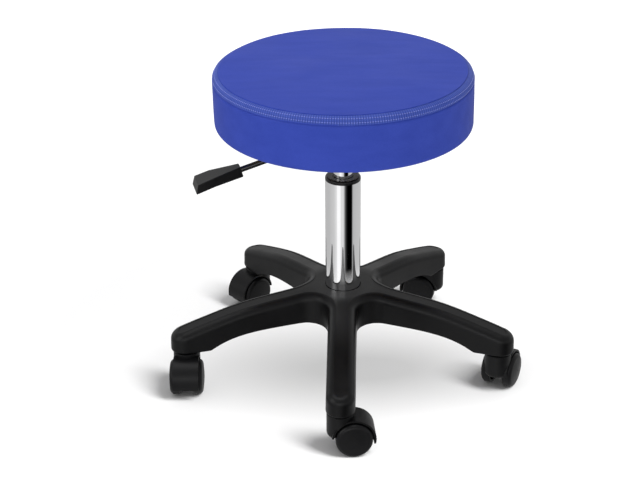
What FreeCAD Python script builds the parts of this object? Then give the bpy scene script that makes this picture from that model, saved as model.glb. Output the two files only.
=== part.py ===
import FreeCAD, Part
import math
import os

from FreeCAD import Rotation, Vector

# Round stool for a dental surgery: a padded seat on a gas lift, a release lever under the
# seat and a five-arm base on swivelling twin-wheel casters. Millimetres, +Z up, with the
# origin on the floor under the column. The front arm points along -Y.

# ---- general ----
# chamfer on turned metal ends, and how far a cut runs past what it opens
TURNED_CHAMFER = 1.0
CUT_SPARE = 10.0
# extra angle swung on each side of one arm's sector before it is trimmed
SECTOR_SPARE = 9.0

# ---- driving dimensions: seat ----
SEAT_R = 177.0
SEAT_BOTTOM_Z = 380.5
SEAT_THICK = 77.8
COVER_WALL = 1.2
BAND_WIDE = 8.5
BAND_LOW_DROP = 10.0
BAND_BULGE = 2.9
SEAM_GROOVE = 0.7
SEAM_GROOVE_HIGH = 2.0
BOTTOM_ROUND = 7.5
FOLD_WIDTH = 27.0
BOARD_INSET = 4.0
BOARD_THICK = 15.0
STAPLE_COUNT = 24
STAPLE_LONG = 10.0
STAPLE_WIRE = 0.7
STAPLE_WIDE = 1.1
STAPLE_INSET = 17.0

# ---- driving dimensions: lift mechanism under the seat ----
LEVER_AZIMUTH = 194.0
PLATE_SIDE = 150.0
PLATE_THICK = 2.5
PLATE_CORNER_R = 14.0
PLATE_LIP = 6.0
BOLT_INSET = 17.0
BOLT_R = 3.0
BOLT_HEAD_FLATS = 10.0
BOLT_HEAD_HIGH = 4.0
BOLT_LONG = 13.5
BOLT_HOLE_CLEAR = 0.3
WASHER_R = 6.5
WASHER_THICK = 1.2
WASHER_CLEAR = 0.2
THREAD_CLEAR = 0.05
TEE_FLANGE_R = 9.0
TEE_FLANGE_THICK = 1.2
TEE_BARREL_R = 4.0
TEE_LONG = 11.0
CHANNEL_WALL = 2.5
CHANNEL_INNER_WIDTH = 48.0
CHANNEL_FLANGE = 13.0
CHANNEL_BEND_R = 2.0
CHANNEL_BACK_X = 32.0
CHANNEL_FRONT_X = -40.0
CHANNEL_DEEP = 48.2
SOCKET_R = 18.5
SOCKET_SHOULDER_R = 22.0
SOCKET_SHOULDER_HIGH = 4.0
SOCKET_BELOW_WEB = 17.0
SOCKET_ABOVE_WEB = 6.0

# ---- driving dimensions: lever ----
LEVER_ROD_R = 4.0
LEVER_PIVOT_X = -30.0
LEVER_INNER_X = 9.0
LEVER_ABOVE_WEB = 19.0
LEVER_LINE_RISE = 15.0
LEVER_DROOP = 15.7
LEVER_BEND_R = 22.0
LEVER_IN_GRIP = 50.0
PIVOT_PIN_R = 2.0
PIVOT_HEAD_R = 3.6
PIVOT_HEAD_THICK = 1.6
PIVOT_CLEAR = 0.05
GRIP_UNDER_SEAT = 27.3
GRIP_LONG = 63.1
GRIP_BREAK = 41.5
GRIP_END_SLANT = 5.5
GRIP_EDGE = 0.8
# half width at the top, half width at the bottom, height above and below the rod's axis
GRIP_INNER = (7.5, 7.7, 6.9, 8.3)
GRIP_MIDDLE = (15.9, 16.6, 8.7, 4.0)
GRIP_OUTER = (17.1, 18.8, 7.5, 4.6)

# ---- driving dimensions: gas lift and column ----
COLUMN_R = 25.0
COLUMN_WALL = 1.8
COLUMN_TO_SOCKET = 18.6
COLUMN_IN_HUB = 47.0
COLUMN_FLOOR = 3.0
TAPER_SLOPE = math.tan(math.radians(1.4377))
COLLAR_HIGH = 5.4
COLLAR_OVERHANG = 0.1
COLLAR_ROUND = 3.0
BUSH_LONG = 90.4
BUSH_RELIEF_LONG = 45.0
BUSH_RELIEF = 1.0
SLIDE_CLEAR = 0.05
GAS_TUBE_R = 14.0
GAS_TUBE_WALL = 1.6
GAS_TUBE_OUT_OF_SOCKET = 1.0
GAS_CONE_BELOW_SOCKET = 8.0
GAS_NECK_R = 11.6
GAS_NECK_LONG = 12.0
GAS_LIP = 2.0
GAS_LIP_R = 8.0
VALVE_FLANGE = 8.0
VALVE_LEAD = 1.5
VALVE_PIN_R = 2.5
VALVE_PIN_LONG = 29.7
LEVER_TO_PIN_GAP = 0.3
ROD_GUIDE_LONG = 14.0
ROD_SEAL_LONG = 3.0
LINER_R = 11.4
LINER_BORE_R = 10.0
PISTON_ROD_R = 5.0
PISTON_ROD_END = 5.0
PISTON_SPIGOT_R = 4.0
PISTON_BELOW_TUBE_TOP = 48.0
PISTON_LONG = 12.0
PISTON_SEAL_LONG = 2.4
PISTON_SEAL_DEEP = 1.5
PISTON_SPIGOT_SPARE = 2.5
THRUST_WASHER_R = 13.0
THRUST_WASHER_THICK = 1.5
THRUST_WASHER_CLEAR = 0.3
BALL_R = 2.0
BALL_COUNT = 6
BALL_CIRCLE_R = 9.4
BALL_CLEAR = 0.05
CAGE_THICK = 2.2
CAGE_INNER_R = 6.3
CAGE_OUTER_R = 12.5
CAGE_POCKET_CLEAR = 0.12
BUFFER_R = 11.0
BUFFER_LONG = 15.4
BUFFER_WAIST = 1.5
BUFFER_GAP = 0.5
CLIP_R = 8.5
CLIP_THICK = 1.0
CLIP_GROOVE_R = 4.2
CLIP_GAP = 0.3
CLIP_MOUTH = 5.0

# ---- driving dimensions: five-arm base ----
ARM_COUNT = 5
FRONT_ARM_ANGLE = -90.8
CASTER_CIRCLE_R = 233.5
ARM_TIP_HALF = 20.1
NOSE_BEYOND_STEM = 1.9
ARM_TAPER = 0.45
ARM_DRAFT = 0.025
CROTCH_R = 29.0
ARM_EDGE_R = 12.0
ARM_WALL = 3.4
ARM_SKIN = 4.0
HUB_TOP_Z = 131.0
# an arm's top and underside: share of the way out to the caster's stem, and share of the
# height from the arm's foot up to the hub's top
ARM_TOP_SHARES = (
    (0.193, 1.0),
    (0.300, 0.962),
    (0.428, 0.907),
    (0.642, 0.803),
    (0.857, 0.617),
    (1.006, 0.468),
    (1.122, 0.326),
)
ARM_TOP_END_SLOPE = -0.42
ARM_UNDER_SHARES = (
    (0.128, 0.348),
    (0.257, 0.354),
    (0.428, 0.342),
    (0.642, 0.287),
    (0.814, 0.119),
    (0.878, 0.0),
)
ARM_UNDER_END_SLOPE = -0.65
HUB_BOSS_R = 29.5
RIB_THICK = 2.4
RIB_RECESS = 1.5
CROSS_RIB_SHARES = (0.308, 0.450, 0.591, 0.732, 0.874)
SOCKET_BOSS_R = 11.5
SOCKET_SPARE = 1.0
HUB_MOUTH_GAP = 0.9
HUB_MOUTH_DEEP = 2.5
HUB_RING_WALL = 2.5
HUB_RING_HIGH = 8.0
DISH_INSET = 10.6
DISH_DEPTH = 0.6
NOSE_FOOT_ROUND = 3.0

# ---- driving dimensions: casters ----
CASTER_NAMES = ("front", "front_right", "back_right", "back_left", "front_left")
TRAIL_ANGLES = (5.0, 64.0, 165.0, 225.0, -89.0)
WHEEL_R = 25.0
CASTER_TRAIL = 17.0
WHEEL_TO_WEB = 0.6
WHEEL_TREAD_WIDE = 9.8
WHEEL_SHOULDER_IN = 2.1
WHEEL_SHOULDER_OUT = 2.9
WHEEL_DOME_IN = 6.0
WHEEL_DOME_OUT = 4.3
WHEEL_CROWN = 1.5
WHEEL_RIM = 4.0
WHEEL_HUB_R = 8.0
WHEEL_DISC_IN = 1.5
WHEEL_HUB_PROUD = 0.4
WHEEL_EDGE = 0.8
AXLE_R = 4.0
AXLE_IN_WHEEL = 10.8
AXLE_CLEAR = 0.05
AXLE_END_SPACE = 0.4
HOOD_ARCH_GAP = 2.4
HOOD_SKIN = 2.6
HOOD_ARCH_WIDE = 9.4
HOOD_WEB_HALF = 8.6
HOOD_NECK_R = 18.9
HOOD_CROWN = 5.0
HOOD_EDGE = 1.0
HOOD_CHIN_BELOW_AXLE = 1.0
HOOD_CHIN_ROUND = 6.9
HOOD_BROW_ABOVE_AXLE = 3.0
HOOD_LIP_BELOW_AXLE = 6.6
HOOD_AXLE_BOSS_R = 12.0
HOOD_STEM_BOSS_R = 9.5
HOOD_CORE_HALF = 5.8
STEM_R = 5.5
STEM_IN_ARM = 19.0
STEM_IN_HOOD = 24.0
STEM_COLLAR_R = 8.5
STEM_COLLAR_HIGH = 1.7
STEM_COLLAR_GAP = 0.3
STEM_CLEAR = 0.08
STEM_GROOVE_R = 4.9
STEM_GROOVE_UP = 8.0
GRIP_RING_HIGH = 4.0
GRIP_RING_GAP = 0.1
GRIP_RING_SPLIT = 1.5

# ---- sizes worked out from the ones above ----
UP = Vector(0, 0, 1)
ORIGIN = Vector(0, 0, 0)
SEAT_TOP_Z = SEAT_BOTTOM_Z + SEAT_THICK
BAND_INNER_R = SEAT_R - BAND_WIDE
BOARD_R = SEAT_R - BOARD_INSET
BOARD_BOTTOM_Z = SEAT_BOTTOM_Z + COVER_WALL
BOARD_TOP_Z = BOARD_BOTTOM_Z + BOARD_THICK
PLATE_BOTTOM_Z = BOARD_BOTTOM_Z - PLATE_THICK
CHANNEL_WEB_Z = PLATE_BOTTOM_Z - CHANNEL_DEEP
SOCKET_BOTTOM_Z = CHANNEL_WEB_Z - SOCKET_BELOW_WEB
SOCKET_TOP_Z = CHANNEL_WEB_Z + SOCKET_ABOVE_WEB
LEVER_Z = CHANNEL_WEB_Z + LEVER_ABOVE_WEB
LEVER_LINE_Z = LEVER_Z + LEVER_LINE_RISE
GRIP_START = SEAT_R - GRIP_UNDER_SEAT
COLUMN_TOP_Z = SOCKET_BOTTOM_Z - COLUMN_TO_SOCKET
COLUMN_BOTTOM_Z = HUB_TOP_Z - COLUMN_IN_HUB
THRUST_LOW_Z = COLUMN_BOTTOM_Z + COLUMN_FLOOR
BALL_CENTRE_Z = THRUST_LOW_Z + THRUST_WASHER_THICK + BALL_CLEAR + BALL_R
THRUST_HIGH_Z = BALL_CENTRE_Z + BALL_R + BALL_CLEAR
BUFFER_LOW_Z = THRUST_HIGH_Z + THRUST_WASHER_THICK
GAS_TUBE_BOTTOM_Z = BUFFER_LOW_Z + BUFFER_LONG + BUFFER_GAP
GAS_TUBE_TOP_Z = SOCKET_TOP_Z + GAS_TUBE_OUT_OF_SOCKET
GAS_CONE_Z = SOCKET_BOTTOM_Z - GAS_CONE_BELOW_SOCKET
PISTON_Z = GAS_TUBE_TOP_Z - PISTON_BELOW_TUBE_TOP
HOOD_ARCH_R = WHEEL_R + HOOD_ARCH_GAP
HOOD_R = HOOD_ARCH_R + HOOD_SKIN
HOOD_HALF = HOOD_WEB_HALF + HOOD_ARCH_WIDE
HOOD_TOP_Z = WHEEL_R + HOOD_R + HOOD_CROWN
WHEEL_INNER_Y = HOOD_WEB_HALF + WHEEL_TO_WEB
WHEEL_TREAD_Y = WHEEL_INNER_Y + WHEEL_TREAD_WIDE
AXLE_HALF = WHEEL_INNER_Y + AXLE_IN_WHEEL
ARM_END_Z = HOOD_TOP_Z + STEM_COLLAR_HIGH + STEM_COLLAR_GAP
NOSE_CENTRE_R = CASTER_CIRCLE_R + NOSE_BEYOND_STEM
STEM_BOTTOM_Z = HOOD_TOP_Z - STEM_IN_HOOD
STEM_TOP_Z = ARM_END_Z + STEM_IN_ARM
STEM_GROOVE_Z = ARM_END_Z + STEM_GROOVE_UP


def save(name, *solids):
    """Write one named piece, or one group of like pieces."""
    shape = solids[0] if len(solids) == 1 else Part.makeCompound(list(solids))
    shape.exportStep(os.path.join("parts", name + ".step"))


def point_rz(pair):
    return Vector(pair[0], 0, pair[1])


def outline_rz(start, *steps):
    """Closed outline in the XZ plane. A step is a point, or a pair (middle, end) of an arc."""
    edges = []
    here = point_rz(start)
    for step in list(steps) + [start]:
        if isinstance(step[0], tuple):
            there = point_rz(step[1])
            edges.append(Part.Arc(here, point_rz(step[0]), there).toShape())
        else:
            there = point_rz(step)
            edges.append(Part.makeLine(here, there))
        here = there
    return Part.Face(Part.Wire(edges))


def turned(start, *steps):
    """Solid of revolution about the column's axis."""
    return outline_rz(start, *steps).revolve(ORIGIN, UP, 360)


def cap_middle(rim_r, rim_z, crown_z):
    """Point halfway along a spherical cap's arc, from its rim to its crown on the axis."""
    rise = crown_z - rim_z
    sphere_r = (rim_r ** 2 + rise ** 2) / (2 * rise)
    half = math.asin(rim_r / sphere_r) / 2
    return (sphere_r * math.sin(half), crown_z - sphere_r * (1 - math.cos(half)))


def rounded(outer_r, top_z, radius):
    """Arc step of an outline that rounds a top corner, from its side in to its top."""
    inset = radius * (1 - math.sqrt(0.5))
    return ((outer_r - inset, top_z - inset), (outer_r - radius, top_z))


def ring(inner_r, outer_r, low_z, high_z):
    return turned((inner_r, low_z), (outer_r, low_z), (outer_r, high_z), (inner_r, high_z))


def cylinder_y(radius, start_y, end_y, x, z):
    """Cylinder along Y."""
    return Part.makeCylinder(radius, end_y - start_y, Vector(x, start_y, z), Vector(0, 1, 0))


def box_between(low, high):
    return Part.makeBox(high[0] - low[0], high[1] - low[1], high[2] - low[2], Vector(*low))


def turned_copy(shape, degrees):
    copy = shape.copy()
    copy.rotate(ORIGIN, UP, degrees)
    return copy


def edges_where(shape, test):
    return [edge for edge in shape.Edges if test(edge)]


def middle(edge):
    return edge.valueAt((edge.FirstParameter + edge.LastParameter) / 2)


# ---- five-arm base ----
def sector_outline(inset, z):
    """One fifth of the star in plan, arm along +X, drawn in by inset from the arm's foot."""
    half_sector = math.pi / ARM_COUNT
    taper = math.radians(ARM_TAPER)
    nose_r = ARM_TIP_HALF - inset
    crotch_r = CROTCH_R + inset
    touch = Vector(NOSE_CENTRE_R + nose_r * math.sin(taper), nose_r * math.cos(taper), z)
    run = (touch.x * math.tan(half_sector) - touch.y) / (
        math.sin(taper) + math.cos(taper) * math.tan(half_sector)
    )
    corner = touch + Vector(-math.cos(taper), math.sin(taper), 0) * run
    turn = half_sector + taper
    crotch_end = corner + Vector(math.cos(taper), -math.sin(taper), 0) * (crotch_r / math.tan(turn))
    bisector = Vector(math.cos(half_sector), math.sin(half_sector), 0)
    crotch_middle = corner + bisector * (crotch_r / math.sin(turn) - crotch_r)
    crotch_centre = corner + bisector * (crotch_r / math.sin(turn))
    to_end = crotch_end - crotch_centre
    to_middle = crotch_middle - crotch_centre
    halfway = to_end + to_middle
    halfway.normalize()
    crotch_way = crotch_centre + halfway * crotch_r

    def other(p):
        return Vector(p.x, -p.y, p.z)

    nose = Vector(NOSE_CENTRE_R + nose_r, 0, z)
    centre = Vector(0, 0, z)
    return Part.Wire(
        [
            Part.makeLine(centre, other(crotch_middle)),
            Part.Arc(other(crotch_middle), other(crotch_way), other(crotch_end)).toShape(),
            Part.makeLine(other(crotch_end), other(touch)),
            Part.Arc(other(touch), nose, touch).toShape(),
            Part.makeLine(touch, crotch_end),
            Part.Arc(crotch_end, crotch_way, crotch_middle).toShape(),
            Part.makeLine(crotch_middle, centre),
        ]
    )


def sector_prism(inset, low_z, high_z):
    """The sector's outline drawn up with the mould's draft."""
    return Part.makeLoft(
        [
            sector_outline(inset + (low_z - ARM_END_Z) * ARM_DRAFT, low_z),
            sector_outline(inset + (high_z - ARM_END_Z) * ARM_DRAFT, high_z),
        ],
        True,
        True,
    )


def arm_points(shares):
    """Distances from the column and heights of an arm's top or underside."""
    rise = HUB_TOP_Z - ARM_END_Z
    return [(out * CASTER_CIRCLE_R, ARM_END_Z + up * rise) for out, up in shares]


ARM_TOP = arm_points(ARM_TOP_SHARES)
ARM_UNDER = arm_points(ARM_UNDER_SHARES)


def arm_curve(points, lower, last_slope):
    """Smooth curve in the XZ plane that leaves the hub level."""
    curve = Part.BSplineCurve()
    curve.interpolate(
        [Vector(r, 0, z - lower) for r, z in points],
        InitialTangent=Vector(1, 0, 0),
        FinalTangent=Vector(1, 0, last_slope),
    )
    return curve.toShape()


def arm_slab(top_lower, under_lift=None):
    """Radial profile of an arm swung through the sector; with no lift it is open below."""
    top = arm_curve(ARM_TOP, top_lower, ARM_TOP_END_SLOPE)
    top_first = point_rz((ARM_TOP[0][0], ARM_TOP[0][1] - top_lower))
    top_last = point_rz((ARM_TOP[-1][0], ARM_TOP[-1][1] - top_lower))
    if under_lift is None:
        low_first = Vector(0, 0, ARM_END_Z - CUT_SPARE)
        low_last = Vector(top_last.x, 0, ARM_END_Z - CUT_SPARE)
        low = [Part.makeLine(low_first, low_last)]
    else:
        first = point_rz((ARM_UNDER[0][0], ARM_UNDER[0][1] + under_lift))
        last = point_rz((ARM_UNDER[-1][0], ARM_UNDER[-1][1] + under_lift))
        low_first = Vector(0, 0, first.z)
        low_last = Vector(top_last.x, 0, last.z)
        under = arm_curve(ARM_UNDER, -under_lift, ARM_UNDER_END_SLOPE)
        low = [Part.makeLine(low_first, first), under, Part.makeLine(last, low_last)]
    crown = Vector(0, 0, top_first.z)
    end_and_top = [Part.makeLine(low_last, top_last), top, Part.makeLine(top_first, crown)]
    face = Part.Face(Part.Wire(low + end_and_top + [Part.makeLine(crown, low_first)]))
    half_turn = 180 / ARM_COUNT + SECTOR_SPARE
    face.rotate(ORIGIN, UP, -half_turn)
    return face.revolve(ORIGIN, UP, 2 * half_turn)


def arm_top_at(radius):
    """Height of the arm's top at a distance from the column, straight between the points."""
    pairs = [(0.0, HUB_TOP_Z)] + ARM_TOP
    for (r0, z0), (r1, z1) in zip(pairs, pairs[1:]):
        if r0 <= radius <= r1:
            return z0 + (z1 - z0) * (radius - r0) / (r1 - r0)
    return ARM_TOP[-1][1]


def arm_sector():
    """One arm with its fifth of the hub: rounded along its top rim, ribbed and open below."""
    low_z = ARM_END_Z - 2 * CUT_SPARE
    high_z = HUB_TOP_Z + CUT_SPARE
    body = sector_prism(0, low_z, high_z).common(arm_slab(0, 0))

    def on_top_rim(edge):
        p = middle(edge)
        radius = math.hypot(p.x, p.y)
        off_joint = abs(math.degrees(math.atan2(abs(p.y), p.x)) - 180 / ARM_COUNT) > 0.2
        return radius > HUB_BOSS_R and off_joint and abs(p.z - arm_top_at(radius)) < ARM_WALL / 2

    def on_nose_foot(edge):
        p = middle(edge)
        return p.x > NOSE_CENTRE_R and abs(p.z - ARM_END_Z) < ARM_WALL / 2

    body = body.makeFillet(ARM_EDGE_R, edges_where(body, on_top_rim))
    body = body.makeFillet(NOSE_FOOT_ROUND, edges_where(body, on_nose_foot))
    body = body.cut(sector_prism(DISH_INSET, low_z, high_z).cut(arm_slab(DISH_DEPTH)))
    cavity = sector_prism(ARM_WALL, low_z, high_z).common(arm_slab(ARM_SKIN))
    socket_boss = Part.makeCylinder(SOCKET_BOSS_R, HUB_TOP_Z, Vector(CASTER_CIRCLE_R, 0, 0))
    rib_half = RIB_THICK / 2
    ribs = [box_between((0, -rib_half, 0), (CASTER_CIRCLE_R, rib_half, HUB_TOP_Z))]
    for share in CROSS_RIB_SHARES:
        r = share * CASTER_CIRCLE_R
        ribs.append(box_between((r, -NOSE_CENTRE_R, 0), (r + RIB_THICK, NOSE_CENTRE_R, HUB_TOP_Z)))
    ribs = socket_boss.multiFuse(ribs).common(arm_slab(0, RIB_RECESS))
    hub = Part.makeCylinder(HUB_BOSS_R, HUB_TOP_Z)
    cavity = cavity.cut(ribs.fuse(hub))
    return body.cut(cavity)


def star_base():
    sector = arm_sector()
    sectors = [turned_copy(sector, angle) for angle in arm_angles()]
    star = sectors[0].multiFuse(sectors[1:]).removeSplitter()
    ring_top_z = ARM_UNDER[0][1] + HUB_RING_HIGH
    cuts = [column_cone(), ring(HUB_BOSS_R, HUB_BOSS_R + HUB_RING_WALL, 0, ring_top_z)]
    socket_deep = STEM_TOP_Z + SOCKET_SPARE - STEM_BOTTOM_Z
    for angle in arm_angles():
        place = stem_place(angle, STEM_BOTTOM_Z)
        cuts.append(Part.makeCylinder(STEM_R + STEM_CLEAR, socket_deep, place))
    return star.cut(cuts[0].multiFuse(cuts[1:]))


def arm_angles():
    return [FRONT_ARM_ANGLE + 360 / ARM_COUNT * k for k in range(ARM_COUNT)]


def stem_place(angle, z):
    turn = math.radians(angle)
    return Vector(CASTER_CIRCLE_R * math.cos(turn), CASTER_CIRCLE_R * math.sin(turn), z)


def column_r(z):
    """Outside radius of the column: straight above the hub and tapered inside it."""
    return COLUMN_R - max(0.0, HUB_TOP_Z - z) * TAPER_SLOPE


def column_cone():
    """The hub's bore: tapered, then opened a little to leave a thin ring round the column."""
    low_z = COLUMN_BOTTOM_Z - CUT_SPARE
    mouth_z = HUB_TOP_Z - HUB_MOUTH_DEEP
    high_z = HUB_TOP_Z + CUT_SPARE
    return turned(
        (0, low_z),
        (column_r(low_z), low_z),
        (column_r(mouth_z), mouth_z),
        (COLUMN_R + HUB_MOUTH_GAP, mouth_z),
        (COLUMN_R + HUB_MOUTH_GAP, high_z),
        (0, high_z),
    )


def hub_ring():
    """Steel ring pressed round the hub's boss from below, where it doesn't show."""
    low_z = ARM_UNDER[0][1]
    return ring(HUB_BOSS_R, HUB_BOSS_R + HUB_RING_WALL, low_z, low_z + HUB_RING_HIGH)


def column_tube():
    floor_z = COLUMN_BOTTOM_Z + COLUMN_FLOOR
    bore = COLUMN_R - COLUMN_WALL
    hole = PISTON_ROD_R + SLIDE_CLEAR
    return turned(
        (hole, COLUMN_BOTTOM_Z),
        (column_r(COLUMN_BOTTOM_Z), COLUMN_BOTTOM_Z),
        (COLUMN_R, HUB_TOP_Z),
        (COLUMN_R, COLUMN_TOP_Z),
        (bore, COLUMN_TOP_Z),
        (bore, HUB_TOP_Z),
        (column_r(floor_z) - COLUMN_WALL, floor_z),
        (hole, floor_z),
    )


def guide_bush():
    """Plastic sleeve in the column's top that guides the gas tube; its collar shows."""
    outer = COLUMN_R - COLUMN_WALL
    bore = GAS_TUBE_R + SLIDE_CLEAR
    collar_r = COLUMN_R + COLLAR_OVERHANG
    top_z = COLUMN_TOP_Z + COLLAR_HIGH
    low_z = COLUMN_TOP_Z - BUSH_LONG
    relief_low = (low_z + COLUMN_TOP_Z - BUSH_RELIEF_LONG) / 2
    relief_high = relief_low + BUSH_RELIEF_LONG
    return turned(
        (bore, low_z),
        (outer, low_z),
        (outer, COLUMN_TOP_Z),
        (collar_r, COLUMN_TOP_Z),
        (collar_r, top_z - COLLAR_ROUND),
        rounded(collar_r, top_z, COLLAR_ROUND),
        (bore + TURNED_CHAMFER, top_z),
        (bore, top_z - TURNED_CHAMFER),
        (bore, relief_high),
        (bore + BUSH_RELIEF, relief_high - BUSH_RELIEF),
        (bore + BUSH_RELIEF, relief_low + BUSH_RELIEF),
        (bore, relief_low),
    )


# ---- gas lift ----
def gas_r(z):
    """Outside radius of the gas tube: straight, then tapered towards its top."""
    return GAS_TUBE_R - max(0.0, z - GAS_CONE_Z) * TAPER_SLOPE


def pressure_tube():
    bore = GAS_TUBE_R - GAS_TUBE_WALL
    neck_z = GAS_TUBE_TOP_Z - GAS_NECK_LONG
    return turned(
        (GAS_LIP_R, GAS_TUBE_BOTTOM_Z),
        (GAS_TUBE_R - TURNED_CHAMFER, GAS_TUBE_BOTTOM_Z),
        (GAS_TUBE_R, GAS_TUBE_BOTTOM_Z + TURNED_CHAMFER),
        (GAS_TUBE_R, GAS_CONE_Z),
        (gas_r(GAS_TUBE_TOP_Z - TURNED_CHAMFER), GAS_TUBE_TOP_Z - TURNED_CHAMFER),
        (gas_r(GAS_TUBE_TOP_Z) - TURNED_CHAMFER, GAS_TUBE_TOP_Z),
        (GAS_NECK_R, GAS_TUBE_TOP_Z),
        (GAS_NECK_R, neck_z),
        (bore, neck_z),
        (bore, GAS_TUBE_BOTTOM_Z + GAS_LIP),
        (GAS_LIP_R, GAS_TUBE_BOTTOM_Z + GAS_LIP),
    )


def gas_lift_fill():
    """Valve body, liner, seal and guide that fill the gas tube from top to bottom."""
    bore = GAS_TUBE_R - GAS_TUBE_WALL
    neck_z = GAS_TUBE_TOP_Z - GAS_NECK_LONG
    guide_z = GAS_TUBE_BOTTOM_Z + GAS_LIP
    seal_z = guide_z + ROD_GUIDE_LONG
    liner_z = seal_z + ROD_SEAL_LONG
    valve_z = neck_z - VALVE_FLANGE
    pin_bore = VALVE_PIN_R + SLIDE_CLEAR
    rod_bore = PISTON_ROD_R + SLIDE_CLEAR
    valve = turned(
        (pin_bore, valve_z),
        (bore, valve_z),
        (bore, neck_z),
        (GAS_NECK_R, neck_z),
        (GAS_NECK_R, GAS_TUBE_TOP_Z - TURNED_CHAMFER),
        (pin_bore + VALVE_LEAD, GAS_TUBE_TOP_Z - TURNED_CHAMFER),
        (pin_bore, GAS_TUBE_TOP_Z - TURNED_CHAMFER - VALVE_LEAD),
    )
    liner = ring(LINER_BORE_R, LINER_R, liner_z, valve_z)
    seal = ring(rod_bore, bore, seal_z, liner_z)
    guide = ring(rod_bore, bore, guide_z, seal_z)
    return valve, liner, seal, guide


def valve_pin():
    top_z = LEVER_Z - LEVER_ROD_R - LEVER_TO_PIN_GAP
    dome_z = top_z - VALVE_PIN_R
    low_z = top_z - VALVE_PIN_LONG
    lean = VALVE_PIN_R * math.sqrt(0.5)
    return turned(
        (0, low_z),
        (VALVE_PIN_R, low_z),
        (VALVE_PIN_R, dome_z),
        ((lean, dome_z + lean), (0, top_z)),
    )


def piston_rod():
    groove_top = COLUMN_BOTTOM_Z - CLIP_GAP
    groove_low = groove_top - CLIP_THICK
    low_z = COLUMN_BOTTOM_Z - PISTON_ROD_END
    return turned(
        (0, low_z),
        (PISTON_ROD_R - TURNED_CHAMFER, low_z),
        (PISTON_ROD_R, low_z + TURNED_CHAMFER),
        (PISTON_ROD_R, groove_low),
        (CLIP_GROOVE_R, groove_low),
        (CLIP_GROOVE_R, groove_top),
        (PISTON_ROD_R, groove_top),
        (PISTON_ROD_R, PISTON_Z),
        (PISTON_SPIGOT_R, PISTON_Z),
        (PISTON_SPIGOT_R, PISTON_Z + PISTON_LONG + PISTON_SPIGOT_SPARE),
        (0, PISTON_Z + PISTON_LONG + PISTON_SPIGOT_SPARE),
    )


def piston():
    outer = LINER_BORE_R - SLIDE_CLEAR
    seal_low = PISTON_Z + (PISTON_LONG - PISTON_SEAL_LONG) / 2
    seal_high = seal_low + PISTON_SEAL_LONG
    return turned(
        (PISTON_SPIGOT_R, PISTON_Z),
        (outer, PISTON_Z),
        (outer, seal_low),
        (outer - PISTON_SEAL_DEEP, seal_low),
        (outer - PISTON_SEAL_DEEP, seal_high),
        (outer, seal_high),
        (outer, PISTON_Z + PISTON_LONG),
        (PISTON_SPIGOT_R, PISTON_Z + PISTON_LONG),
    )


def retaining_clip():
    """Open ring snapped into the rod's groove under the column's floor."""
    top_z = COLUMN_BOTTOM_Z - CLIP_GAP
    clip = ring(CLIP_GROOVE_R, CLIP_R, top_z - CLIP_THICK, top_z)
    mouth_half = CLIP_MOUTH / 2
    mouth = box_between((0, -mouth_half, top_z - CLIP_THICK), (2 * CLIP_R, mouth_half, top_z))
    return clip.cut(mouth)


def ball_places(z):
    places = []
    for k in range(BALL_COUNT):
        turn = 2 * math.pi * k / BALL_COUNT
        places.append(Vector(BALL_CIRCLE_R * math.cos(turn), BALL_CIRCLE_R * math.sin(turn), z))
    return places


def bearing_balls():
    return [Part.makeSphere(BALL_R, place) for place in ball_places(BALL_CENTRE_Z)]


def bearing_cage():
    low_z = BALL_CENTRE_Z - CAGE_THICK / 2
    cage = ring(CAGE_INNER_R, CAGE_OUTER_R, low_z, low_z + CAGE_THICK)
    pocket_r = BALL_R + CAGE_POCKET_CLEAR
    places = ball_places(BALL_CENTRE_Z - CAGE_THICK)
    pockets = [Part.makeCylinder(pocket_r, CAGE_THICK * 2, place) for place in places]
    return cage.cut(pockets[0].multiFuse(pockets[1:]))


def rod_washer(low_z, clear):
    return ring(PISTON_ROD_R + clear, THRUST_WASHER_R, low_z, low_z + THRUST_WASHER_THICK)


def buffer():
    low_z = BUFFER_LOW_Z
    top_z = low_z + BUFFER_LONG
    waist_z = (low_z + top_z) / 2
    return turned(
        (PISTON_ROD_R, low_z),
        (BUFFER_R, low_z),
        ((BUFFER_R - BUFFER_WAIST, waist_z), (BUFFER_R, top_z)),
        (PISTON_ROD_R, top_z),
    )


# ---- mechanism under the seat, drawn with the lever along -X ----
def to_lever(shape):
    """Turn a piece drawn with the lever along -X to the lever's real direction."""
    return turned_copy(shape, LEVER_AZIMUTH - 180)


def bolt_places(z):
    half = PLATE_SIDE / 2 - BOLT_INSET
    return [Vector(x, y, z) for x in (-half, half) for y in (-half, half)]


def is_upright(edge):
    return abs(edge.tangentAt(edge.FirstParameter).z) > 0.9


def mounting_plate():
    """Pressed plate with a lip turned down all round."""
    half = PLATE_SIDE / 2
    low_z = PLATE_BOTTOM_Z - PLATE_LIP + PLATE_THICK
    block = box_between((-half, -half, low_z), (half, half, BOARD_BOTTOM_Z))
    block = block.makeFillet(PLATE_CORNER_R, edges_where(block, is_upright))
    inner = half - PLATE_THICK
    hollow = box_between((-inner, -inner, low_z), (inner, inner, PLATE_BOTTOM_Z))
    hollow = hollow.makeFillet(PLATE_CORNER_R - PLATE_THICK, edges_where(hollow, is_upright))
    plate = block.cut(hollow)
    for place in bolt_places(PLATE_BOTTOM_Z - PLATE_THICK):
        plate = plate.cut(Part.makeCylinder(BOLT_R + BOLT_HOLE_CLEAR, 3 * PLATE_THICK, place))
    return to_lever(plate)


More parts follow.
